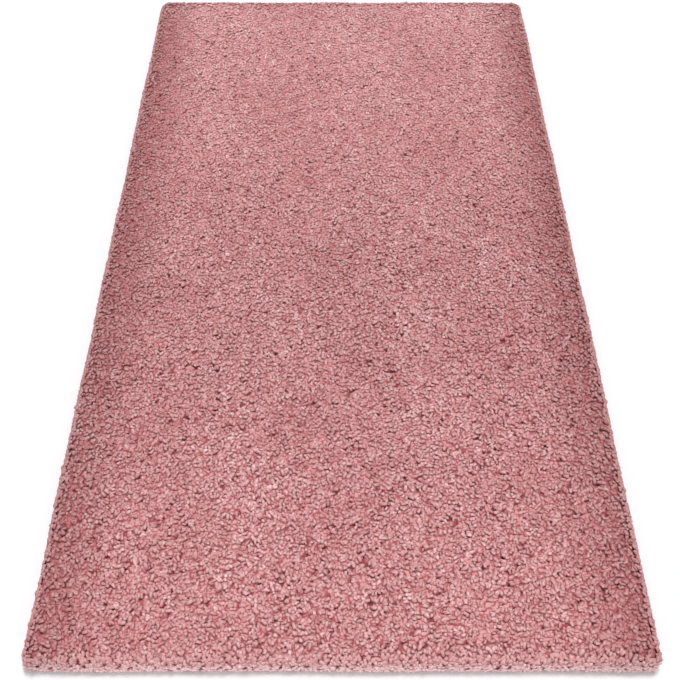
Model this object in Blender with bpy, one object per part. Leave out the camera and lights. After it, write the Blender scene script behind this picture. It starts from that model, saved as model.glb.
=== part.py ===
# Shag rug, 0.80 x 1.50 m: a deep cut pile on a woven backing, as one soft flat slab.
# The origin is the middle of the underside, +Y runs along the rug and +Z is up.
from math import pi, sin

import bmesh
import bpy

# sizes in metres
WIDTH = 0.80             # outline, from tip to tip of the pile
LENGTH = 1.50
THICKNESS = 0.034        # backing and pile together, before the unevenness
FAR_CORNER = 0.022       # corner radius at the +Y end
NEAR_CORNER = 0.012      # corner radius at the -Y end
CORNER_STEPS = 4
PILE_EDGE = 0.014        # how far the upper edge of the pile rounds over
PILE_EDGE_STEPS = 3
HEM_EDGE = 0.004         # the lowest tufts curve in under the pile
HEM_EDGE_STEPS = 2
CELL = 0.040             # spacing of the lines that carry the unevenness

# gentle unevenness: (depth, length of the wave, start of the wave in turns)
SIDE_WAVES = ((0.0007, 0.41, 0.10), (0.0005, 0.19, 0.55))
END_WAVES = ((0.0006, 0.33, 0.70), (0.0005, 0.17, 0.25))
TOP_WAVES_X = ((0.0006, 0.37, 0.20), (0.0004, 0.23, 0.65))
TOP_WAVES_Y = ((0.0006, 0.44, 0.45), (0.0005, 0.21, 0.05))

PILE_PINK = (0.57, 0.25, 0.26, 1.0)
PILE_ROUGHNESS = 0.95


def wave(waves, along):
    return sum(depth * sin(2 * pi * (along / length + start)) for depth, length, start in waves)


def corner_edges(bm, end):
    # the two upright edges at one end of the slab
    found = []
    for edge in bm.edges:
        a, b = edge.verts
        upright = abs(a.co.z - b.co.z) > THICKNESS / 2
        if upright and a.co.y * end > 0:
            found.append(edge)
    return found


def rim_edges(bm, height):
    # the loop of edges round the upper or the lower face
    return [edge for edge in bm.edges if all(abs(v.co.z - height) < 1e-6 for v in edge.verts)]


def round_edges(bm, edges, radius, steps):
    bmesh.ops.bevel(bm, geom=edges, offset=radius, offset_type="OFFSET", segments=steps,
                    profile=0.5, affect="EDGES", clamp_overlap=True)


def cut_into_cells(bm, axis, size):
    # lines across the pile and down its sides, never across the flat underside
    count = round(size / CELL)
    normal = [0.0, 0.0, 0.0]
    normal[axis] = 1.0
    for i in range(1, count):
        place = [0.0, 0.0, 0.0]
        place[axis] = size * (i / count - 0.5)
        faces = [face for face in bm.faces if face.normal.z > -0.99]
        edges = {edge for face in faces for edge in face.edges}
        verts = {vert for face in faces for vert in face.verts}
        bmesh.ops.bisect_plane(bm, geom=list(verts) + list(edges) + faces, dist=1e-5,
                               plane_co=place, plane_no=normal)


def make_uneven(bm):
    for vert in bm.verts:
        x, y, z = vert.co
        across = x / (WIDTH / 2)
        along = y / (LENGTH / 2)
        vert.co.x += across ** 3 * wave(SIDE_WAVES, y + 0.3 * across)
        vert.co.y += along ** 3 * wave(END_WAVES, x + 0.2 * along)
        upper = max(0.0, z / THICKNESS - 0.5) * 2      # none at the underside, all at the tips
        vert.co.z += upper * (wave(TOP_WAVES_X, x + 0.25 * y) + wave(TOP_WAVES_Y, y - 0.35 * x))


def pile_material():
    material = bpy.data.materials.new("pile")
    material.use_nodes = True
    shader = material.node_tree.nodes["Principled BSDF"]
    shader.inputs["Base Color"].default_value = PILE_PINK
    shader.inputs["Roughness"].default_value = PILE_ROUGHNESS
    shader.inputs["Metallic"].default_value = 0.0
    return material


def make_rug(collection):
    bm = bmesh.new()
    bmesh.ops.create_cube(bm, size=1.0)
    bmesh.ops.scale(bm, vec=(WIDTH, LENGTH, THICKNESS), verts=bm.verts)
    bmesh.ops.translate(bm, vec=(0.0, 0.0, THICKNESS / 2), verts=bm.verts)
    round_edges(bm, corner_edges(bm, 1), FAR_CORNER, CORNER_STEPS)
    round_edges(bm, corner_edges(bm, -1), NEAR_CORNER, CORNER_STEPS)
    round_edges(bm, rim_edges(bm, 0.0), HEM_EDGE, HEM_EDGE_STEPS)
    round_edges(bm, rim_edges(bm, THICKNESS), PILE_EDGE, PILE_EDGE_STEPS)
    cut_into_cells(bm, 0, WIDTH)
    cut_into_cells(bm, 1, LENGTH)
    make_uneven(bm)
    bmesh.ops.recalc_face_normals(bm, faces=bm.faces)

    mesh = bpy.data.meshes.new("rug")
    bm.to_mesh(mesh)
    bm.free()
    mesh.shade_smooth()
    mesh.materials.append(pile_material())
    rug = bpy.data.objects.new("rug", mesh)
    collection.objects.link(rug)
    return rug


for old in list(bpy.data.objects):
    bpy.data.objects.remove(old, do_unlink=True)

shag_rug = bpy.data.collections.new("shag_rug")
bpy.context.scene.collection.children.link(shag_rug)
make_rug(shag_rug)
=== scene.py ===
import math

import bpy
import numpy as np
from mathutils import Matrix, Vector
from mathutils.bvhtree import BVHTree


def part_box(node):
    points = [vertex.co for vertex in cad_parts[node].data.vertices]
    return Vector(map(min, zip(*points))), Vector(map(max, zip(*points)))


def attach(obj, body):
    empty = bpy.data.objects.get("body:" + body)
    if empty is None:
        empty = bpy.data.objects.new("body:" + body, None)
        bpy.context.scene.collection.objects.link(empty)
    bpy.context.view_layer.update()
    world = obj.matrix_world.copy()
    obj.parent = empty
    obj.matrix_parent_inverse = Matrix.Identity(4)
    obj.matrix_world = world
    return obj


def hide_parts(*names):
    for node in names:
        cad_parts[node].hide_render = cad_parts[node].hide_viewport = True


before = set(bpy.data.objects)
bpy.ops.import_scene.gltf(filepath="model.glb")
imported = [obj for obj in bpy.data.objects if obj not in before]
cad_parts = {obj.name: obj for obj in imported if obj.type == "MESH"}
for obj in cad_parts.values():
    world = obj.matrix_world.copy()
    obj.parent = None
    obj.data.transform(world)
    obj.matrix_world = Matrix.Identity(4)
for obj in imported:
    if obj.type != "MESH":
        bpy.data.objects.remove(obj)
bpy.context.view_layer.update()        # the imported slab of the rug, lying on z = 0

# the finished rug out to the tips of its pile, in metres
halfWidth = 0.40
halfLength = 0.75
tipTop = 0.0340


# small helpers

def linear(hexText):
    # an sRGB hex value as Blender's linear colour
    parts = [int(hexText[i:i + 2], 16) / 255 for i in (0, 2, 4)]
    return tuple(c / 12.92 if c <= 0.04045 else ((c + 0.055) / 1.055) ** 2.4 for c in parts) + (1.0,)


def addNode(tree, kind, settings=None, values=None, links=None):
    node = tree.nodes.new(kind)
    for name, value in (settings or {}).items():
        setattr(node, name, value)
    for name, value in (values or {}).items():
        node.inputs[name].default_value = value
    for name, socket in (links or {}).items():
        tree.links.new(socket, node.inputs[name])
    return node


def newMaterial(name, values):
    material = bpy.data.materials.new(name)
    material.use_nodes = True
    tree = material.node_tree
    shader = tree.nodes["Principled BSDF"]
    for socket, value in values.items():
        shader.inputs[socket].default_value = value
    return material, tree, shader


def pickNothing():
    if bpy.context.mode != "OBJECT":
        bpy.ops.object.mode_set(mode="OBJECT")
    bpy.ops.object.select_all(action="DESELECT")


def pick(obj, kind, test):
    # in edit mode: select only the faces, edges or verts that pass the test
    bpy.context.tool_settings.mesh_select_mode = (kind == "VERT", kind == "EDGE", kind == "FACE")
    bpy.ops.mesh.select_all(action="DESELECT")
    bpy.ops.object.mode_set(mode="OBJECT")
    mesh = obj.data
    parts = {"VERT": mesh.vertices, "EDGE": mesh.edges, "FACE": mesh.polygons}[kind]
    for part in parts:
        part.select = bool(test(mesh, part))
    bpy.ops.object.mode_set(mode="EDIT")


def edgeEnds(mesh, edge):
    return [mesh.vertices[i].co for i in edge.vertices]


def rimAt(height):
    def test(mesh, edge):
        a, b = edgeEnds(mesh, edge)
        return abs(a.z - height) < 1e-5 and abs(b.z - height) < 1e-5
    return test


def finishPiece(obj, material, flat=False):
    obj.data.materials.clear()
    obj.data.materials.append(material)
    if not flat:
        obj.data.shade_smooth()
    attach(obj, "root")
    return obj


def easeIn(values, start, end):
    t = np.clip((values - start) / (end - start), 0, 1)
    return t * t * (3 - 2 * t)


def farness(y):
    # 0 at the near end of the rug and 1 at the far edge, where the pile is more closed and even
    return easeIn(y, -0.45, 0.75)


def softNoise(x, y, size, seed, waves=9):
    # slow unevenness, about -1 to 1, from a few crossing waves of about the given length
    rng = np.random.default_rng(seed)
    total = np.zeros_like(x)
    for turn in range(waves):
        heading = rng.uniform(0, 2 * math.pi)
        length = size * rng.uniform(0.7, 1.6)
        start = rng.uniform(0, 2 * math.pi)
        total += np.sin(2 * math.pi * (x * math.cos(heading) + y * math.sin(heading)) / length + start)
    return total / math.sqrt(waves)


def surfaceOf(obj):
    # a piece's surface, for rays to find
    return BVHTree.FromPolygons([v.co.copy() for v in obj.data.vertices],
                                [tuple(p.vertices) for p in obj.data.polygons])


def heightOn(surface, x, y):
    # how high a surface is at each place, seen from above
    heights = np.zeros(len(x))
    above = 0.1
    down = Vector((0, 0, -1))
    for i in range(len(x)):
        hit = surface.ray_cast(Vector((x[i], y[i], above)), down)[0]
        if hit:
            heights[i] = hit.z
    return heights


def depthTo(surface, starts, ways, fallback):
    # how far off a surface is from each start along its own way
    found = np.full(len(starts), fallback)
    for i in range(len(starts)):
        distance = surface.ray_cast(Vector(starts[i]), Vector(ways[i]))[3]
        if distance:
            found[i] = min(distance, 2 * fallback)
    return found


slab = surfaceOf(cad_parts["rug"])
slabLow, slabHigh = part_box("rug")
print("frame loaded, slab", [round(v, 4) for v in (slabHigh - slabLow)])


# Painted shade: the whole rug's colour is made a little darker across its middle, along its two long sides
# and at the far end.
shading = {
    "middle": 0.12, "centre": -0.10, "spread": 0.45,        # how much, where along the rug, how wide
    "side": 0.155, "sideFrom": 0.005, "sideTo": 0.12,       # how much, and where it fades in from the edge
    "far": 0.055, "farFrom": 0.1, "farTo": 0.6,
    "steps": 5, "step": 0.06,   # the yarns take it in this many steps, each this much darker
}


def shadeAt(x, y):
    # how much painted shade darkens the colour at a place, 0 to about 0.28
    middle = shading["middle"] * np.exp(-((y - shading["centre"]) / shading["spread"]) ** 2)
    far = shading["far"] * easeIn(y, shading["farFrom"], shading["farTo"])
    side = 1 - easeIn(halfWidth - np.abs(x), shading["sideFrom"], shading["sideTo"])
    return middle + far + shading["side"] * side


# materials

# Heat-set polypropylene yarn, spun, twisted in two plies and cut: no gloss, a soft bloom of loose fibre at
# the tip, and painted shade down at the root, deeper and redder where light passes through more yarn.
yarnLook = {
    # the palette: across, one column for each tone, of the dye with painted light and shade near the edges,
    # and the way round the yarn; up, one row for each step of painted shade and the way from root to tip
    "map": "OFBake",
    "columns": 32,
    # deep rose, middle, pale, and the palest, which paints light onto the pile low down round the edge
    "tones": ((0.0, "b97e7f"), (0.42, "cb9c9c"), (0.75, "deb4b5"), (1.0, "edc9ca")),
    # painted shade: the deeper, redder colour down at the root
    "root": "b26064",
    # painted shade in the groove between the two plies: its tint, and how strong it is
    "grooveShade": "a07b7b",         # the tint of the groove between the two plies
    "plyShade": 0.06,           # and how strong it is
    "plyTurns": 3.0,            # turns of the twist along one yarn, about one in 6 mm
}


def yarnMaterial(look):
    material, tree, shader = newMaterial("heatSetPileYarn", {
        "Roughness": 0.9, "IOR": 1.49, "Specular IOR Level": 0.10})
    palette = addNode(tree, "ShaderNodeUVMap", {"uv_map": look["map"]})
    split = addNode(tree, "ShaderNodeSeparateXYZ", links={"Vector": palette.outputs["UV"]})
    column = addNode(tree, "ShaderNodeMath", {"operation": "MULTIPLY"}, {1: look["columns"]},
                     {0: split.outputs["X"]})
    whole = addNode(tree, "ShaderNodeMath", {"operation": "FLOOR"}, links={0: column.outputs[0]})
    tone = addNode(tree, "ShaderNodeMath", {"operation": "DIVIDE"}, {1: look["columns"] - 1.0},
                   {0: whole.outputs[0]})
    tips = addNode(tree, "ShaderNodeValToRGB", links={"Fac": tone.outputs[0]})
    ramp = tips.color_ramp.elements
    for place, hexText in look["tones"][1:-1]:
        ramp.new(place)
    for stop, (place, hexText) in zip(ramp, look["tones"]):
        stop.position = place
        stop.color = linear(hexText)
    row = addNode(tree, "ShaderNodeMath", {"operation": "MULTIPLY"}, {1: shading["steps"]},
                  {0: split.outputs["Y"]})
    step = addNode(tree, "ShaderNodeMath", {"operation": "FLOOR"}, links={0: row.outputs[0]})
    along = addNode(tree, "ShaderNodeMath", {"operation": "FRACT"}, links={0: row.outputs[0]})
    # each row of the palette is one step of painted shade, this much darker
    light = addNode(tree, "ShaderNodeMath", {"operation": "MULTIPLY_ADD"},
                    {1: -shading["step"], 2: 1.0}, {0: step.outputs[0]})
    # the root's painted shade fades out as the yarn rises
    rise = addNode(tree, "ShaderNodeMapRange", {"interpolation_type": "SMOOTHSTEP"},
                   {"From Min": 0.05, "From Max": 0.75}, {"Value": along.outputs[0]})
    body = addNode(tree, "ShaderNodeMix", {"data_type": "RGBA"}, {"A": linear(look["root"])},
                   {"Factor": rise.outputs[0], "B": tips.outputs["Color"]})
    # painted shade in the groove between the plies, running round the yarn as it rises
    around = addNode(tree, "ShaderNodeMath", {"operation": "FRACT"}, links={0: column.outputs[0]})
    climb = addNode(tree, "ShaderNodeMath", {"operation": "MULTIPLY_ADD"}, {1: look["plyTurns"]},
                    {0: along.outputs[0], 2: around.outputs[0]})
    turn = addNode(tree, "ShaderNodeMath", {"operation": "MULTIPLY"}, {1: 4 * math.pi},
                   {0: climb.outputs[0]})
    wave = addNode(tree, "ShaderNodeMath", {"operation": "SINE"}, links={0: turn.outputs[0]})
    depth = addNode(tree, "ShaderNodeMapRange", {},
                    {"From Min": -1.0, "From Max": 0.2, "To Min": look["plyShade"], "To Max": 0.0},
                    {"Value": wave.outputs[0]})
    shaded = addNode(tree, "ShaderNodeMix", {"data_type": "RGBA", "blend_type": "MULTIPLY"},
                     {"B": linear(look["grooveShade"])},
                     {"Factor": depth.outputs[0], "A": body.outputs["Result"]})
    withPaintedShade = addNode(tree, "ShaderNodeMix", {"data_type": "RGBA", "blend_type": "MULTIPLY"}, {"Factor": 1.0},
                   {"A": shaded.outputs["Result"], "B": light.outputs[0]})
    tree.links.new(withPaintedShade.outputs["Result"], shader.inputs["Base Color"])
    return material


# The same heat-set yarns seen down in the pile, packed side by side: rose stem ends, with painted shade
# that makes them deeper and redder between the stems, in the pits, where the light has further to reach, and
# along the two long sides.
bedLook = {
    "stemSize": 0.0046,         # yarn spacing in metres
    "stem": "cb9596", "sideShadedStem": "b87475",
    # painted shade between the stems and in the pits
    "between": "a0585b", "pit": "8e3f43",
    "sideFrom": 0.300, "sideTo": 0.395,      # how far from the middle line the deeper colour sets in
    # the painted shade between the stems and in the pits fades towards the far end
    "calmFrom": -0.45, "calmTo": 0.75, "calm": 0.5,     # the far end is more closed and even
    "bump": 0.0015,
}


def bedMaterial(look):
    material, tree, shader = newMaterial("packedPileStems", {
        "Roughness": 0.95, "IOR": 1.49, "Specular IOR Level": 0.15})
    where = addNode(tree, "ShaderNodeTexCoord")
    split = addNode(tree, "ShaderNodeSeparateXYZ", links={"Vector": where.outputs["Object"]})
    across = addNode(tree, "ShaderNodeMath", {"operation": "ABSOLUTE"}, {}, {0: split.outputs["X"]})
    side = addNode(tree, "ShaderNodeMapRange", {"interpolation_type": "SMOOTHSTEP"},
                   {"From Min": look["sideFrom"], "From Max": look["sideTo"]}, {"Value": across.outputs[0]})
    stem = addNode(tree, "ShaderNodeMix", {"data_type": "RGBA"},
                   {"A": linear(look["stem"]), "B": linear(look["sideShadedStem"])}, {"Factor": side.outputs[0]})
    calm = addNode(tree, "ShaderNodeMapRange", {},
                   {"From Min": look["calmFrom"], "From Max": look["calmTo"],
                    "To Min": 1.0, "To Max": 1.0 - look["calm"]}, {"Value": split.outputs["Y"]})
    cells = addNode(tree, "ShaderNodeTexVoronoi", {"feature": "F1"},
                    {"Scale": 1 / look["stemSize"], "Randomness": 0.9},
                    {"Vector": where.outputs["Object"]})
    ends = addNode(tree, "ShaderNodeMapRange", {}, {"From Min": 0.42, "From Max": 0.66},
                   {"Value": cells.outputs["Distance"], "To Max": calm.outputs[0]})
    packed = addNode(tree, "ShaderNodeMix", {"data_type": "RGBA"}, {"B": linear(look["between"])},
                     {"Factor": ends.outputs[0], "A": stem.outputs["Result"]})
    sunk = addNode(tree, "ShaderNodeAttribute", {"attribute_name": "sunk"})
    down = addNode(tree, "ShaderNodeMath", {"operation": "MULTIPLY"},
                   links={0: sunk.outputs["Fac"], 1: calm.outputs[0]})
    colour = addNode(tree, "ShaderNodeMix", {"data_type": "RGBA"}, {"B": linear(look["pit"])},
                     {"Factor": down.outputs[0], "A": packed.outputs["Result"]})
    # the painted shade over the whole rug
    shade = addNode(tree, "ShaderNodeAttribute", {"attribute_name": "shade"})
    light = addNode(tree, "ShaderNodeMath", {"operation": "SUBTRACT"}, {0: 1.0}, {1: shade.outputs["Fac"]})
    withPaintedShade = addNode(tree, "ShaderNodeMix", {"data_type": "RGBA", "blend_type": "MULTIPLY"}, {"Factor": 1.0},
                   {"A": colour.outputs["Result"], "B": light.outputs[0]})
    bump = addNode(tree, "ShaderNodeBump", {"invert": True},
                   {"Strength": 0.6, "Distance": look["bump"]}, {"Height": cells.outputs["Distance"]})
    tree.links.new(withPaintedShade.outputs["Result"], shader.inputs["Base Color"])
    tree.links.new(bump.outputs["Normal"], shader.inputs["Normal"])
    return material


# Jute and polypropylene ground weave: dry, matt, pale brown threads crossing square, with the pink
# of the pile yarns showing where they pass under a thread.
weaveLook = {
    "thread": 0.0036,           # thread spacing in metres
    "ground": "c3ab92",
    "crossing": "9b8570",
    "yarnShow": "b9767b",
    "bump": 0.0006,
}


def weaveMaterial(look):
    material, tree, shader = newMaterial("juteGroundWeave", {
        "Roughness": 0.9, "IOR": 1.5, "Specular IOR Level": 0.2})
    where = addNode(tree, "ShaderNodeTexCoord")
    split = addNode(tree, "ShaderNodeSeparateXYZ", links={"Vector": where.outputs["Object"]})
    waves = []
    for axis in ("X", "Y"):
        turn = addNode(tree, "ShaderNodeMath", {"operation": "MULTIPLY"},
                       {1: math.pi / look["thread"]}, {0: split.outputs[axis]})
        waves.append(addNode(tree, "ShaderNodeMath", {"operation": "SINE"}, links={0: turn.outputs[0]}))
    crossing = addNode(tree, "ShaderNodeMath", {"operation": "MULTIPLY"},
                       links={0: waves[0].outputs[0], 1: waves[1].outputs[0]})
    over = addNode(tree, "ShaderNodeMapRange", {}, {"From Min": -1.0, "From Max": 1.0},
                   {"Value": crossing.outputs[0]})
    ground = addNode(tree, "ShaderNodeMix", {"data_type": "RGBA"},
                     {"A": linear(look["crossing"]), "B": linear(look["ground"])},
                     {"Factor": over.outputs[0]})
    pinks = addNode(tree, "ShaderNodeMapRange", {}, {"From Min": -0.55, "From Max": -0.95},
                    {"Value": crossing.outputs[0]})
    colour = addNode(tree, "ShaderNodeMix", {"data_type": "RGBA"}, {"B": linear(look["yarnShow"])},
                     {"Factor": pinks.outputs[0], "A": ground.outputs["Result"]})
    bump = addNode(tree, "ShaderNodeBump", {}, {"Strength": 0.6, "Distance": look["bump"]},
                   {"Height": crossing.outputs[0]})
    tree.links.new(colour.outputs["Result"], shader.inputs["Base Color"])
    tree.links.new(bump.outputs["Normal"], shader.inputs["Normal"])
    return material


yarnFinish = yarnMaterial(yarnLook)
bedFinish = bedMaterial(bedLook)
weaveFinish = weaveMaterial(weaveLook)
print("materials ready")


# woven backing: one thin sheet, set in a little so that the pile covers its edge

backingCut = {
    "width": 0.784, "length": 1.484, "thickness": 0.0026,
    "farCorner": 0.016, "nearCorner": 0.008, "hem": 0.0008,
}


def roundedSlab(name, width, length, height, farCorner, nearCorner):
    pickNothing()
    bpy.ops.mesh.primitive_cube_add(size=1, location=(0, 0, height / 2), scale=(width, length, height))
    obj = bpy.context.object
    obj.name = obj.data.name = name
    bpy.ops.object.transform_apply(location=True, rotation=True, scale=True)
    bpy.ops.object.mode_set(mode="EDIT")

    def upright(end):
        # the two corner edges at one end: 1 is the far end, -1 the near one
        def test(mesh, edge):
            a, b = edgeEnds(mesh, edge)
            return abs(a.z - b.z) > height / 2 and a.y * end > length / 2 - 1e-4
        return test

    for end, radius in ((1, farCorner), (-1, nearCorner)):
        pick(obj, "EDGE", upright(end))
        bpy.ops.mesh.bevel(offset=radius, segments=4, affect="EDGES")
    return obj


def makeBacking(cut, material):
    obj = roundedSlab("wovenBacking", cut["width"], cut["length"], cut["thickness"],
                      cut["farCorner"], cut["nearCorner"])
    pick(obj, "EDGE", rimAt(cut["thickness"]))
    bpy.ops.mesh.bevel(offset=cut["hem"], segments=2, affect="EDGES")
    pickNothing()
    return finishPiece(obj, material, flat=True)


backing = makeBacking(backingCut, weaveFinish)
print("backing", len(backing.data.polygons), "faces")


# pile bed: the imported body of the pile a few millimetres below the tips, with pits between the tufts

bedCut = {
    "inset": 0.0044,            # how far the bed stops short of the tips all round
    "low": 0.0024,
    "under": 0.0046, "farUnder": 0.0030,    # how far its top lies below the tips, at the near and far end
    "farCorner": 0.017, "nearCorner": 0.010, "shoulder": 0.009,
    "cell": 0.0060,             # spacing of its surface points
    "shift": 0.30,              # how far each point leaves its place in the grid, in cells
    "rim": 0.030,               # the height near the edge is read this far in
    "edge": 0.012,              # this much of the edge has no pits, and its points stay in place
    # how many of the points are pits, how deep they are, and the depth that takes the full pit colour
    "pits": 0.13, "pitDepth": (0.002, 0.0055), "pitFull": 0.004,
    # the bed's sides take part of the pits' painted shade
    "sideSunk": 0.10,           # how much of the pit colour the sides take
    "seed": 8,
}
bedTop = tipTop - bedCut["under"]


def roundIn(x, y, hx, hy, radius):
    # turns the square corners of a grid into round ones
    vx = np.maximum(np.abs(x) - (hx - radius), 0)
    vy = np.maximum(np.abs(y) - (hy - radius), 0)
    corner = (vx > 0) & (vy > 0)
    squeeze = np.where(corner, np.maximum(vx, vy) / np.maximum(np.hypot(vx, vy), 1e-9), 1)
    newX = np.where(corner, np.sign(x) * (hx - radius + vx * squeeze), x)
    newY = np.where(corner, np.sign(y) * (hy - radius + vy * squeeze), y)
    return newX, newY


def bedLevel(x, y, inside):
    # the height of the bed without its pits: it follows the slab, and rounds over at the edge
    rim = bedCut["rim"]
    tips = heightOn(slab, np.clip(x, rim - halfWidth, halfWidth - rim),
                    np.clip(y, rim - halfLength, halfLength - rim))
    radius = bedCut["shoulder"]
    fall = np.clip(radius - inside, 0, radius)
    under = bedCut["under"] + (bedCut["farUnder"] - bedCut["under"]) * farness(y)
    return tips - under - (radius - np.sqrt(radius ** 2 - fall ** 2))


def makeBed(cut, material):
    width = 2 * halfWidth - 2 * cut["inset"]
    length = 2 * halfLength - 2 * cut["inset"]
    columns, rows = round(width / cut["cell"]), round(length / cut["cell"])
    pickNothing()
    bpy.ops.mesh.primitive_grid_add(x_subdivisions=columns, y_subdivisions=rows, size=1,
                                    location=(0, 0, bedTop))
    obj = bpy.context.object
    obj.name = obj.data.name = "pileBed"
    bpy.ops.transform.resize(value=(width, length, 1))
    bpy.ops.object.transform_apply(location=True, rotation=True, scale=True)
    bpy.ops.object.mode_set(mode="EDIT")
    pick(obj, "EDGE", lambda mesh, edge: all(
        min(width / 2 - abs(v.x), length / 2 - abs(v.y)) < 1e-5 for v in edgeEnds(mesh, edge)))
    bpy.ops.mesh.extrude_region_move(TRANSFORM_OT_translate={"value": (0, 0, cut["low"] - bedTop)})
    bpy.ops.mesh.edge_face_add()
    bpy.ops.mesh.select_all(action="SELECT")
    bpy.ops.mesh.normals_make_consistent(inside=False)
    pickNothing()

    # the even grid becomes the uneven body of the pile
    mesh = obj.data
    co = np.empty(len(mesh.vertices) * 3)
    mesh.vertices.foreach_get("co", co)
    x, y, z = co.reshape(-1, 3).T
    upper = z > (cut["low"] + bedTop) / 2
    inside = np.minimum(width / 2 - np.abs(x), length / 2 - np.abs(y))
    x, y = roundIn(x, y, width / 2, length / 2, np.where(y > 0, cut["farCorner"], cut["nearCorner"]))
    rng = np.random.default_rng(cut["seed"])
    free = upper & (inside > cut["edge"])
    step = cut["shift"] * cut["cell"]
    x = x + rng.uniform(-step, step, len(x)) * free
    y = y + rng.uniform(-step, step, len(x)) * free
    pit = free * (rng.uniform(0, 1, len(x)) < cut["pits"]) * rng.uniform(*cut["pitDepth"], len(x))
    z = np.where(upper, bedLevel(x, y, inside) - pit, z)
    mesh.vertices.foreach_set("co", np.stack([x, y, z], 1).ravel())
    # how deep each point lies in a pit, for the pit's painted shade
    sunk = mesh.attributes.new("sunk", "FLOAT", "POINT")
    sunk.data.foreach_set("value", np.where(upper, np.clip(pit / cut["pitFull"], 0, 1), cut["sideSunk"]))
    # the painted shade over the whole rug, for the bed's colour
    shade = mesh.attributes.new("shade", "FLOAT", "POINT")
    shade.data.foreach_set("value", shadeAt(x, y))
    mesh.update()
    return finishPiece(obj, material)


bed = makeBed(bedCut, bedFinish)
bedSurface = surfaceOf(bed)
print("pile bed", len(bed.data.polygons), "faces")


# one yarn, cut blunt at its tip: a few forms, each modelled once. Each row is one stretch of the
# strand, the last one its rounded end: drift, swing and rise in metres
yarnRadius = 0.0024
yarnSides = 4
yarnBloom = 1.05                # how much wider the cut end opens
yarnRoll = 20                   # each form is turned this many degrees further than the one before
yarnForms = {
    "nod":   ((0.0014, 0.0000, 0.0034), (0.0052, 0.0014, 0.0016), (0.0020, 0.0009, -0.0004)),
    "hook":  ((0.0020, 0.0000, 0.0032), (0.0042, -0.0028, 0.0012), (0.0005, -0.0024, -0.0006)),
    "curl":  ((0.0010, 0.0000, 0.0038), (0.0040, 0.0030, 0.0012), (-0.0002, 0.0025, -0.0004)),
    "lean":  ((0.0014, 0.0000, 0.0036), (0.0036, 0.0010, 0.0022), (0.0017, 0.0005, 0.0006)),
    "flop":  ((0.0026, 0.0000, 0.0024), (0.0056, 0.0012, 0.0006), (0.0020, -0.0014, -0.0004)),
    "stand": ((0.0008, 0.0000, 0.0038), (0.0020, 0.0012, 0.0028), (0.0010, 0.0005, 0.0006)),
}


def turnRing(centre, turn, heading, back):
    # with no window transform.rotate turns the other way, so every angle goes in negated
    for angle, axis in ((-back, "Z"), (turn, "Y"), (heading, "Z")):
        bpy.ops.transform.rotate(value=-angle, orient_axis=axis, center_override=centre)


def modelYarn(name, rows, roll):
    pickNothing()
    bpy.ops.mesh.primitive_circle_add(vertices=yarnSides, radius=yarnRadius, fill_type="NGON",
                                      location=(0, 0, 0))
    obj = bpy.context.object
    obj.name = obj.data.name = "yarn" + name.capitalize()
    bpy.ops.object.mode_set(mode="EDIT")
    bpy.ops.mesh.select_all(action="SELECT")
    turnRing((0, 0, 0), 0, math.radians(roll), 0)
    centre = Vector((0, 0, 0))
    turn = heading = 0.0
    for i, row in enumerate(rows):
        bpy.ops.mesh.extrude_region_move(TRANSFORM_OT_translate={"value": row})
        centre = centre + Vector(row)
        if i < len(rows) - 1:
            # each ring stands square to the strand: half way between the stretches it joins
            way = Vector(row).normalized() + Vector(rows[i + 1]).normalized()
            newTurn = math.atan2(math.hypot(way.x, way.y), way.z)
            newHeading = math.atan2(way.y, way.x)
            turnRing(centre, newTurn - turn, newHeading, heading)
            turn, heading = newTurn, newHeading
            if i == len(rows) - 2:
                bpy.ops.transform.resize(value=(yarnBloom, yarnBloom, yarnBloom), center_override=centre)
        else:
            bpy.ops.mesh.merge(type="CENTER")
    # the root closes to a point, down in the bed
    pick(obj, "VERT", lambda mesh, vert: abs(vert.co.z) < 1e-6)
    bpy.ops.mesh.merge(type="CENTER")
    bpy.ops.mesh.select_all(action="SELECT")
    bpy.ops.mesh.normals_make_consistent(inside=False)
    bpy.ops.object.mode_set(mode="OBJECT")
    return obj


def readYarn(obj, rows):
    # the yarn's points, its sides as triangles, and for each corner the way round and the way along,
    # each from 0 to 1
    mesh = obj.data
    points = np.array([v.co for v in mesh.vertices])
    tip = len(points) - 1         # the points run from the root, ring by ring, to the tip
    centres = [np.zeros(3)]
    for row in rows:
        centres.append(centres[-1] + np.array(row))
    lengths = np.cumsum([0] + [np.linalg.norm(b - a) for a, b in zip(centres, centres[1:])])
    ring = np.ceil(np.arange(len(points)) / yarnSides).astype(int)
    along = lengths[ring] / lengths[-1]
    # which side of the strand each ring point is on, counted round from the first one
    angles = {}
    for c in range(1, tip):
        way = (Vector(rows[ring[c] - 1]).normalized() + Vector(rows[ring[c]]).normalized()).normalized()
        across = (Vector((0, 1, 0)) - way * way.y).normalized()
        arm = Vector(points[c] - centres[ring[c]])
        angles[c] = math.atan2(arm.dot(way.cross(across)), arm.dot(across))
    sideOf = {c: round((a - angles[1]) * yarnSides / (2 * math.pi)) % yarnSides for c, a in angles.items()}
    mesh.calc_loop_triangles()
    tris, maps = [], []
    # sorted, because extrude leaves the faces in another order each run
    for corners in sorted(list(tri.vertices) for tri in mesh.loop_triangles):
        sides = [sideOf[c] for c in corners if c in sideOf]
        wraps = 0 in sides and yarnSides - 1 in sides
        turns = [1.0 if wraps and side == 0 else side / yarnSides for side in sides]
        if len(sides) == 2:        # the root and the tip take the middle of their side
            turns.insert([c in (0, tip) for c in corners].index(True), sum(turns) / 2)
        tris.append(corners)
        maps.append([(turns[k], along[c]) for k, c in enumerate(corners)])
    return points, np.array(tris), np.array(maps)


yarns = []
for formIndex, (formName, formRows) in enumerate(yarnForms.items()):
    formObject = modelYarn(formName, formRows, yarnRoll * formIndex)
    yarns.append(readYarn(formObject, formRows))
    print("yarn", formName, len(formObject.data.vertices), "points", len(yarns[-1][1]), "triangles")
    bpy.data.objects.remove(formObject, do_unlink=True)


# the pile: yarns set out over the bed, top and sides, and joined into bands across the rug

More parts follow.
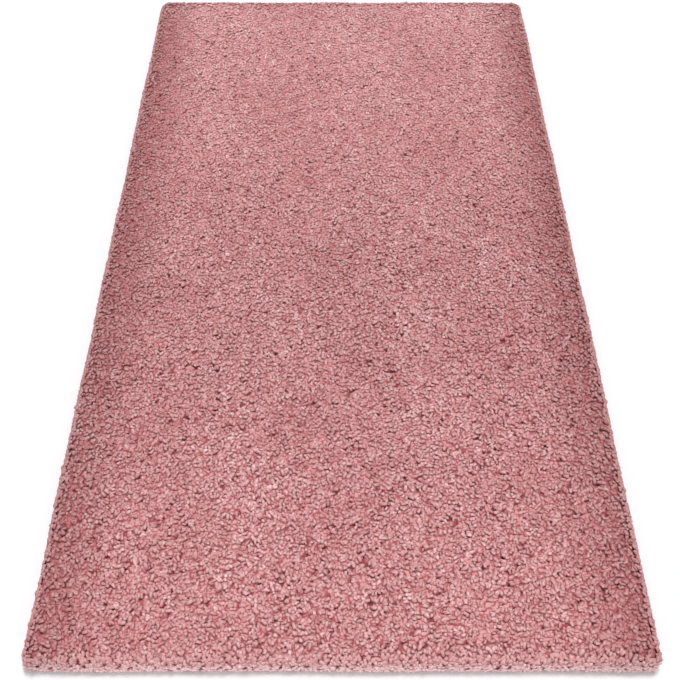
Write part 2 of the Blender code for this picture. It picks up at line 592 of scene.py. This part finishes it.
pileLayout = {
    # the top: spacing, how far from the middle its rows reach, and how far a yarn leaves its place
    "spacing": 0.0053, "across": 0.3925, "along": 0.745, "jitter": 0.40,
    "sizes": 0.14, "sizeLimits": (0.7, 1.35),           # how much the yarns differ in thickness
    "topInset": 0.002,          # how far in from the bed's side the outermost of them stand
    "fanWidth": 0.024, "fanTilt": 40,       # they fan outwards over this much of the edge
    "free": (-0.002, 0.020),    # and lean over more and more freely from here to there, in from the edge
    # the sides: spacing, and for each row its root height and its tilt above level in degrees
    "sideSpacing": 0.0034, "sideInset": 0.001,
    "sideRows": ((0.0038, -14), (0.0075, -6), (0.0112, 2), (0.0149, 12), (0.0186, 23),
                 (0.0222, 36), (0.0256, 52)),
    "farCorner": 0.022, "nearCorner": 0.012,            # how round the rows are at the rug's corners
    # how much these yarns differ in height and tilt, and their thickness and reach, each with its spread
    "sideLift": 0.0015, "sideTurn": 5, "sideSize": (1.02, 0.07), "sideReach": (0.92, 0.02),
    "upward": (0.006, 0.024),   # between these heights they curl up more and more
    "root": 0.0008,             # how deep the yarns of the top are rooted in the bed
    "lowest": 0.0004,           # how near the floor a yarn may come
    "lying": 24,                # how far the yarns lean over, in degrees
    # length of the soft patches where the pile leans together, how much it does, and how that differs
    "patch": 0.20, "together": 0.15, "togetherVaries": 0.25, "togetherMost": 0.6,
    # the tips cling together in tufts: their spacing, pull to the middle, sunk rim, and own height
    "tuft": 0.0090, "pull": 0.30, "sunk": 0.10, "tuftRise": 0.06,
    # how near the yarns come to the outside of the pile, its spread and limits, and how far off the
    # outside is taken to be where a yarn's own way doesn't meet it
    "reach": 0.95, "uneven": 0.07, "reachLimits": (0.4, 1.05), "depth": 0.010,
    "pitEdge": 0.0040,          # no yarn stands deeper than this in a pit
    "pitShort": 0.35, "pitFrom": 0.0005,    # how much shorter the yarns in a pit are, and from what depth
    "calm": 0.7,                # how much more even the pile is at the far end
    # dye tone: the middle one, and how far yarns, tufts, specks and patches differ from it
    "tone": 0.42, "yarnTone": 0.05, "tuftTone": 0.10, "speck": 0.03, "speckTone": 0.10, "patchTone": 0.06,
    # deeper or paler near an edge, fading in or out from here to there: painted shade along the long sides,
    # and painted sheen at the far end
    "sidePaintedShade": 0.24, "sideBand": (0.005, 0.11), "nearDeep": 0.06, "nearBand": (0.010, 0.09),
    "farPaintedSheen": 0.10, "farBand": (0.2, 0.75),
    # the tone of the sides at their foot and at their shoulder, painted light that is palest low down, and
    # the heights between which it changes
    "lowTone": 1.0, "highTone": 0.30, "sideHeights": (0.010, 0.026),
    "bands": 6,
    "seed": 5,
}


def outlinePath(inset, spacing):
    # points round a rounded rectangle, each with its outward direction
    hx, hy = halfWidth - inset, halfLength - inset
    far = max(pileLayout["farCorner"] - inset, 0.003)
    near = max(pileLayout["nearCorner"] - inset, 0.003)
    corners = ((hx - far, hy - far, far, 0), (-hx + far, hy - far, far, 90),
               (-hx + near, -hy + near, near, 180), (hx - near, -hy + near, near, 270))
    steps = 6
    points = []
    for cx, cy, radius, start in corners:
        for j in range(steps + 1):
            a = math.radians(start + 90 * j / steps)
            points.append((cx + radius * math.cos(a), cy + radius * math.sin(a)))
    points = np.array(points + points[:1])
    runs = np.linalg.norm(np.diff(points, axis=0), axis=1)
    s = np.concatenate([[0], np.cumsum(runs)])
    count = int(s[-1] / spacing)
    at = (np.arange(count) + 0.5) * s[-1] / count
    x = np.interp(at, s, points[:, 0])
    y = np.interp(at, s, points[:, 1])
    bit = 0.001
    tx = np.interp(at + bit, s, points[:, 0]) - np.interp(at - bit, s, points[:, 0])
    ty = np.interp(at + bit, s, points[:, 1]) - np.interp(at - bit, s, points[:, 1])
    n = np.hypot(tx, ty) + 1e-12
    return x, y, ty / n, -tx / n


def edgeDistance(x, y):
    # how far inside the outline, and the way out
    dx = halfWidth - np.abs(x)
    dy = halfLength - np.abs(y)
    reach = 0.05
    wx = np.clip(1 - dx / reach, 0, 1) ** 2 * np.sign(x)
    wy = np.clip(1 - dy / reach, 0, 1) ** 2 * np.sign(y)
    n = np.hypot(wx, wy) + 1e-9
    return np.minimum(dx, dy), wx / n, wy / n


def shoulderAt(height):
    # how far the bed's side has rounded in at a height
    radius = bedCut["shoulder"]
    up = max(0.0, height - (bedTop - radius))
    return radius - math.sqrt(max(0.0, radius ** 2 - up ** 2))


def setOutTop(plan, rng):
    # staggered rows over the top, as in a honeycomb, cut off at the rounded corners
    step = plan["spacing"]
    width, length = 2 * plan["across"], 2 * plan["along"]
    rowStep = 0.866 * step
    rows = int(length / rowStep)
    even = np.linspace(-plan["across"], plan["across"], round(width / step) + 1)
    xs, ys = [], []
    for row in range(rows):
        y = -plan["along"] + (row + 0.5) * length / rows
        x = (even[1:] + even[:-1]) / 2 if row % 2 else even
        xs.append(x)
        ys.append(np.full_like(x, y))
    x = np.concatenate(xs)
    y = np.concatenate(ys)
    x = x + rng.uniform(-1, 1, x.shape) * step * plan["jitter"]
    y = y + rng.uniform(-1, 1, y.shape) * step * plan["jitter"]
    inset = bedCut["inset"] + plan["topInset"]
    hx, hy = halfWidth - inset, halfLength - inset
    radius = np.where(y > 0, bedCut["farCorner"], bedCut["nearCorner"])
    cx = np.maximum(np.abs(x) - (hx - radius), 0)
    cy = np.maximum(np.abs(y) - (hy - radius), 0)
    keep = np.hypot(cx, cy) < radius
    x, y = x[keep], y[keep]
    inside, ox, oy = edgeDistance(x, y)
    fan = np.clip(1 - (inside - inset) / plan["fanWidth"], 0, 1) ** 1.5 * math.radians(plan["fanTilt"])
    return {"x": x, "y": y, "z": np.full_like(x, np.nan), "ox": ox, "oy": oy, "tilt": math.pi / 2 - fan,
            "size": np.clip(rng.normal(1.0, plan["sizes"], x.shape), *plan["sizeLimits"])}


def setOutSide(plan, rng, height, level):
    # one row all round the sides
    x, y, ox, oy = outlinePath(bedCut["inset"] + plan["sideInset"], plan["sideSpacing"])
    shift = rng.uniform(-1, 1, x.shape) * plan["sideSpacing"] * plan["jitter"]
    x, y = x - oy * shift, y + ox * shift
    x, y = x - ox * shoulderAt(height), y - oy * shoulderAt(height)
    z = height + rng.uniform(-plan["sideLift"], plan["sideLift"], x.shape)
    return {"x": x, "y": y, "z": z, "ox": ox, "oy": oy,
            "tilt": np.radians(level + rng.normal(0, plan["sideTurn"], x.shape)),
            "size": rng.normal(*plan["sideSize"], x.shape)}


def setOutYarns(plan, rng):
    groups = [setOutTop(plan, rng)]
    for height, level in plan["sideRows"]:
        groups.append(setOutSide(plan, rng, height, level))
    spots = {key: np.concatenate([g[key] for g in groups]) for key in groups[0]}
    spots["side"] = np.concatenate([np.full(len(g["x"]), i > 0) for i, g in enumerate(groups)])
    return spots


def rootYarns(plan, spots):
    # the top's yarns stand on the bed, and those that would stand too deep in a pit are left out
    x, y, onTop = spots["x"], spots["y"], ~spots["side"]
    spots["inside"] = edgeDistance(x, y)[0] - bedCut["inset"]
    spots["z"][onTop] = heightOn(bedSurface, x[onTop], y[onTop]) - plan["root"]
    spots["down"] = bedLevel(x, y, spots["inside"]) - plan["root"] - spots["z"]
    keep = spots["side"] | (spots["inside"] < bedCut["edge"]) | (spots["down"] < plan["pitEdge"])
    return {key: values[keep] for key, values in spots.items()}


def nearestTuft(x, y, spacing, seed):
    # tufts on a square grid, each moved at random: the way to the nearest one's middle, and two numbers
    # of its own
    rng = np.random.default_rng(seed)
    grid = 256
    stray = 0.42
    moves = rng.uniform(-stray, stray, (grid, grid, 2))
    own = rng.normal(0, 1, (grid, grid, 2))
    best = np.full(x.shape, np.inf)
    toX, toY = np.zeros_like(x), np.zeros_like(x)
    numbers = np.zeros(x.shape + (2,))
    for i in (-1, 0, 1):
        for j in (-1, 0, 1):
            column = np.floor(x / spacing).astype(int) + i
            row = np.floor(y / spacing).astype(int) + j
            dx = (column + 0.5 + moves[column % grid, row % grid, 0]) * spacing - x
            dy = (row + 0.5 + moves[column % grid, row % grid, 1]) * spacing - y
            apart = np.hypot(dx, dy)
            nearer = apart < best
            best = np.where(nearer, apart, best)
            toX, toY = np.where(nearer, dx, toX), np.where(nearer, dy, toY)
            numbers = np.where(nearer[:, None], own[column % grid, row % grid], numbers)
    return toX, toY, numbers[:, 0], numbers[:, 1]


def leanYarns(plan, rng, spots):
    # three ways square to each other for each yarn: the one it stands, the one it curls, and across
    x, y, side = spots["x"], spots["y"], spots["side"]
    count = len(x)
    # each yarn falls its own way, and in patches they fall together
    lean = rng.uniform(0, 2 * math.pi, count)
    shared = math.pi * softNoise(x, y, plan["patch"] * 1.6, seed=21)
    together = plan["together"] + plan["togetherVaries"] * softNoise(x, y, plan["patch"], seed=22)
    together = np.clip(together, 0, plan["togetherMost"])
    lean = np.arctan2((1 - together) * np.sin(lean) + together * np.sin(shared),
                      (1 - together) * np.cos(lean) + together * np.cos(shared))
    free = easeIn(spots["inside"], *plan["free"])      # none of them falls out over the edge
    lying = np.abs(rng.normal(0, 1, count)) * math.radians(plan["lying"]) * free
    out = np.stack([spots["ox"], spots["oy"], np.zeros(count)], 1)
    axis = out * np.cos(spots["tilt"])[:, None]
    axis[:, 2] = np.sin(spots["tilt"])
    pull = plan["pull"] / (0.5 * plan["tuft"]) * free
    axis[:, 0] += (np.sin(lying) * np.cos(lean) + pull * spots["toX"]) * ~side
    axis[:, 1] += (np.sin(lying) * np.sin(lean) + pull * spots["toY"]) * ~side
    axis /= np.linalg.norm(axis, axis=1)[:, None]

    # on the top the curl turns the way the yarn leans, and near the edge it is turned back inwards
    bend = np.stack([np.cos(lean), np.sin(lean), np.zeros(count)], 1)
    outward = np.clip(np.sum(bend * out, axis=1), 0, None) * (free < 0.7)
    bend -= 2 * out * outward[:, None]
    # round the sides it turns sideways, up or down, and the higher the yarn stands, the more it curls up
    # over the edge and closes it
    sideBend = np.stack([-spots["oy"], spots["ox"], np.zeros(count)], 1) * rng.normal(0, 1, count)[:, None]
    upward = easeIn(spots["z"], *plan["upward"])
    swing = rng.normal(0, 0.8, count)
    sideBend[:, 2] = swing + upward * (0.5 + np.abs(swing) - swing)
    bend = np.where(side[:, None], sideBend, bend)
    curl = bend - axis * np.sum(bend * axis, axis=1)[:, None]
    curl /= np.linalg.norm(curl, axis=1)[:, None] + 1e-9
    return axis, curl, np.cross(axis, curl)


def stretchYarns(plan, rng, spots, forms):
    # each yarn's form, and how far it is stretched to reach the outside of the pile along its own way
    side = spots["side"]
    count = len(side)
    form = rng.integers(0, len(forms), count)
    heights = np.array([shape[:, 2].max() for shape, tris, layout in forms])
    starts = np.stack([spots["x"], spots["y"], spots["z"]], 1)
    depth = depthTo(slab, starts, spots["axis"], plan["depth"])
    rim = np.clip(np.hypot(spots["toX"], spots["toY"]) / (0.7 * plan["tuft"]), 0, 1)
    reach = rng.normal(0, plan["uneven"], count)
    reach = reach + plan["tuftRise"] * spots["tuftHeight"] - plan["sunk"] * rim ** 2
    inPit = easeIn(spots["down"], plan["pitFrom"], bedCut["pitFull"]) * (spots["inside"] > bedCut["edge"])
    reach -= plan["pitShort"] * inPit
    reach = plan["reach"] + (1 - plan["calm"] * farness(spots["y"])) * reach
    reach = np.clip(reach, *plan["reachLimits"])
    reach[side] = rng.normal(*plan["sideReach"], side.sum())
    return form, depth * reach / (heights[form] * spots["size"])


def toneAndPaintedLightOfYarns(plan, rng, spots):
    # each yarn's column in the palette, for its tone, and its row, for the painted shade over the whole rug
    x, y, z, side = spots["x"], spots["y"], spots["z"], spots["side"]
    count = len(x)
    tone = plan["tone"] + plan["yarnTone"] * rng.normal(0, 1, count) + plan["tuftTone"] * spots["tuftNumber"]
    tone += (plan["speckTone"] * softNoise(x, y, plan["speck"], seed=32)
             + plan["patchTone"] * softNoise(x, y, plan["patch"], seed=31))
    # deeper along the long sides in painted shade, a little deeper at the near edge, and paler at the far
    # end in painted sheen
    deep = np.maximum(plan["sidePaintedShade"] * (1 - easeIn(halfWidth - np.abs(x), *plan["sideBand"])),
                      plan["nearDeep"] * (1 - easeIn(halfLength + y, *plan["nearBand"])))
    # the far end's painted sheen, and the painted shade of the edges
    tone += plan["farPaintedSheen"] * easeIn(y, *plan["farBand"]) - deep
    # round the sides it goes by height, painted light that is palest low down
    lowness = 1 - easeIn(z, *plan["sideHeights"])
    paintedSideTone = plan["highTone"] + (plan["lowTone"] - plan["highTone"]) * lowness
    tone[side] = (paintedSideTone + 0.5 * plan["yarnTone"] * rng.normal(0, 1, count))[side]
    column = np.floor(np.clip(tone, 0.0, 0.999) * yarnLook["columns"])
    row = np.floor(shadeAt(x, y) / shading["step"] + rng.uniform(0, 1, count))
    return column, np.clip(row, 0, shading["steps"] - 1)


def joinYarns(name, plan, spots, chosen, forms, material):
    # one mesh of the chosen yarns, form by form, each with its place in the palette
    points, corners, maps = [], [], []
    base = 0
    for kind, (shape, tris, layout) in enumerate(forms):
        own = chosen[spots["form"][chosen] == kind]
        yarn = {key: values[own] for key, values in spots.items()}
        local = shape[None, :, :] * yarn["size"][:, None, None]
        local[:, :, 2] *= yarn["rise"][:, None]
        place = (local[:, :, 0:1] * yarn["curl"][:, None, :] + local[:, :, 1:2] * yarn["cross"][:, None, :]
                 + local[:, :, 2:3] * yarn["axis"][:, None, :])
        place += np.stack([yarn["x"], yarn["y"], yarn["z"]], 1)[:, None, :]
        points.append(place.reshape(-1, 3))
        shift = base + np.arange(len(own))[:, None, None] * len(shape)
        corners.append((tris[None] + shift).reshape(-1, 3))
        # a small margin keeps every corner inside its own column and row
        u = (yarn["column"][:, None, None] + 0.06 + 0.88 * layout[None, :, :, 0]) / yarnLook["columns"]
        v = (yarn["row"][:, None, None] + 0.04 + 0.92 * layout[None, :, :, 1]) / shading["steps"]
        maps.append(np.stack([u, v], -1).reshape(-1, 2))
        base += len(own) * len(shape)
    points = np.concatenate(points)
    points[:, 2] = np.maximum(points[:, 2], plan["lowest"])
    corners = np.concatenate(corners)
    mesh = bpy.data.meshes.new(name)
    mesh.vertices.add(len(points))
    mesh.vertices.foreach_set("co", points.ravel())
    mesh.loops.add(len(corners) * 3)
    mesh.loops.foreach_set("vertex_index", corners.ravel().astype(np.int32))
    mesh.polygons.add(len(corners))
    mesh.polygons.foreach_set("loop_start", np.arange(len(corners), dtype=np.int32) * 3)
    mesh.update(calc_edges=True)
    layer = mesh.uv_layers.new(name=yarnLook["map"])
    layer.uv.foreach_set("vector", np.concatenate(maps).ravel().astype(np.float32))
    mesh.validate()
    obj = bpy.data.objects.new(name, mesh)
    bpy.context.scene.collection.objects.link(obj)
    print(name, len(chosen), "yarns", len(corners), "triangles")
    return finishPiece(obj, material)


def makePile(plan, forms, material):
    rng = np.random.default_rng(plan["seed"])
    spots = rootYarns(plan, setOutYarns(plan, rng))
    tufts = nearestTuft(spots["x"], spots["y"], plan["tuft"], plan["seed"] + 1)
    spots["toX"], spots["toY"], spots["tuftNumber"], spots["tuftHeight"] = tufts
    spots["axis"], spots["curl"], spots["cross"] = leanYarns(plan, rng, spots)
    spots["form"], spots["rise"] = stretchYarns(plan, rng, spots, forms)
    spots["column"], spots["row"] = toneAndPaintedLightOfYarns(plan, rng, spots)
    fromNear = np.argsort(spots["y"], kind="stable")
    return [joinYarns("pileBand%d" % (band + 1), plan, spots, chosen, forms, material)
            for band, chosen in enumerate(np.array_split(fromNear, plan["bands"]))]


pile = makePile(pileLayout, yarns, yarnFinish)
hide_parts("rug")
yarnTriangles = sum(len(p.data.polygons) for p in pile)
print("triangles added, about", yarnTriangles + 2 * len(bed.data.polygons) + 2 * len(backing.data.polygons))


# plain pale floor, soft studio light, and the camera at the photograph's angle

def makeStage():
    pickNothing()
    bpy.ops.mesh.primitive_plane_add(size=24, location=(0, 0, 0))
    floor = bpy.context.object
    floor.name = floor.data.name = "floor"
    # matt painted floor, rolled: even and without gloss
    paint = newMaterial("paleStudioFloor", {
        "Base Color": linear("d8d8da"), "Roughness": 0.85, "Specular IOR Level": 0.1})[0]
    floor.data.materials.append(paint)


studio = {
    "sky": 0.7, "skyColour": "ffffff",
    "key": 2.2, "keySoft": 16,           # strength, and its width in degrees
    "keyTurn": (-12, 4, 0),              # leans in from behind the far end
    "fill": 1.0, "fillSoft": 60,
    "fillTurn": (60, 0, 0),              # from the camera's side, on the near edge
}


def addSun(name, place, turn, strength, soft):
    pickNothing()
    bpy.ops.object.light_add(type="SUN", location=place, rotation=[math.radians(a) for a in turn])
    sun = bpy.context.object
    sun.name = name
    sun.data.energy = strength
    sun.data.angle = math.radians(soft)


def lightStudio(look):
    world = bpy.data.worlds.new("studioAir")
    bpy.context.scene.world = world
    world.use_nodes = True
    air = world.node_tree.nodes["Background"]
    air.inputs["Color"].default_value = linear(look["skyColour"])
    air.inputs["Strength"].default_value = look["sky"]
    addSun("keyLight", (0, 1, 3), look["keyTurn"], look["key"], look["keySoft"])
    addSun("fillLight", (0, -3, 3), look["fillTurn"], look["fill"], look["fillSoft"])


view = {
    "lens": 51.33, "pitch": 50.17,       # in millimetres, and in degrees down from level
    "place": (-0.0021, -1.2086, 1.2038),
}


def setCamera(look):
    pickNothing()
    bpy.ops.object.camera_add(location=look["place"], rotation=(math.radians(90 - look["pitch"]), 0, 0))
    camera = bpy.context.object
    camera.name = "camera"
    camera.data.lens = look["lens"]
    camera.data.sensor_width = 36
    camera.data.clip_end = 60
    bpy.context.scene.camera = camera


makeStage()
lightStudio(studio)
setCamera(view)
bpy.context.scene.view_settings.view_transform = "Standard"
print("stage, light and camera set")
